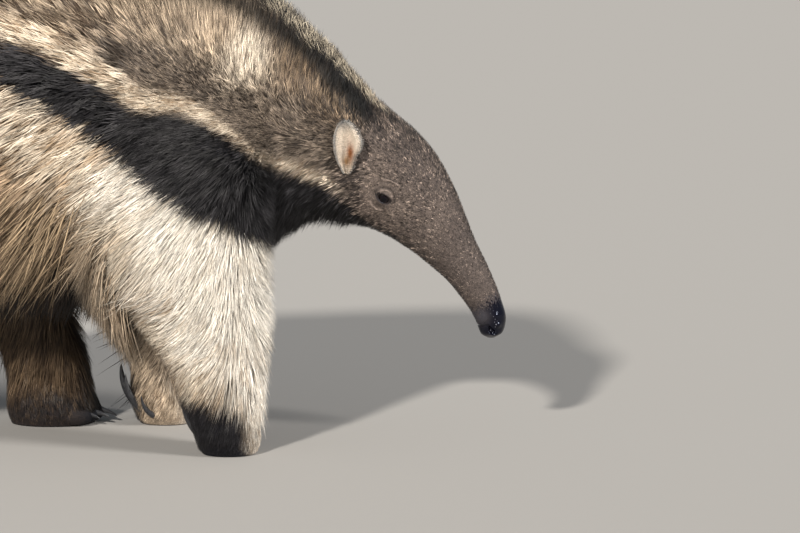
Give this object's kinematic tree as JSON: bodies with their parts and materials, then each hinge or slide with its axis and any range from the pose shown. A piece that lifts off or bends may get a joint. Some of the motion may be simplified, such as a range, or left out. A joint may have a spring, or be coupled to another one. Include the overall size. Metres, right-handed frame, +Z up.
{
  "type": "giant anteater",
  "caption": "Life-size walking giant anteater with a long tubular snout held low, a banded shaggy coat, folded front claws and a large bushy tail.",
  "frame": {"origin": "on the floor, under the middle of the whole animal", "axes": "+X forwards to the snout, +Y to the animal's left side, +Z up"},
  "size_m": [1.703, 0.3208, 0.626],
  "materials": {
    "grey_coat": "short grey-brown fur",
    "grizzled_coat": "long coarse grizzled fur with black, cream and tan zones",
    "cream_coat": "cream-white coarse fur",
    "dark_coat": "dark brown to black coarse fur",
    "wet_nose": "wet black skin",
    "eye": "wet, dark brown",
    "ear_skin": "thin skin with short pale hair",
    "claw_horn": "dark horn, worn to a satin gloss"
  },
  "bodies": {
    "root": {"nose": "wet_nose", "head": "grey_coat", "neck": "grizzled_coat", "torso": "grizzled_coat", "tail": "dark_coat", "ear_right": "ear_skin", "ear_left": "ear_skin", "eye_right": "eye", "eye_left": "eye", "foreleg_right": "cream_coat", "foreleg_left": "cream_coat", "hindleg_right": "dark_coat", "hindleg_left": "dark_coat", "forepaw_right": "dark_coat", "forepaw_left": "dark_coat", "hindpaw_right": "dark_coat", "hindpaw_left": "dark_coat", "claw_fore_right_1": "claw_horn", "claw_fore_right_2": "claw_horn", "claw_fore_right_3": "claw_horn", "claw_fore_right_4": "claw_horn", "claw_fore_left_1": "claw_horn", "claw_fore_left_2": "claw_horn", "claw_fore_left_3": "claw_horn", "claw_fore_left_4": "claw_horn", "claw_hind_right_1": "claw_horn", "claw_hind_right_2": "claw_horn", "claw_hind_right_3": "claw_horn", "claw_hind_right_4": "claw_horn", "claw_hind_right_5": "claw_horn", "claw_hind_left_1": "claw_horn", "claw_hind_left_2": "claw_horn", "claw_hind_left_3": "claw_horn", "claw_hind_left_4": "claw_horn", "claw_hind_left_5": "claw_horn"}
  },
  "joints": []
}
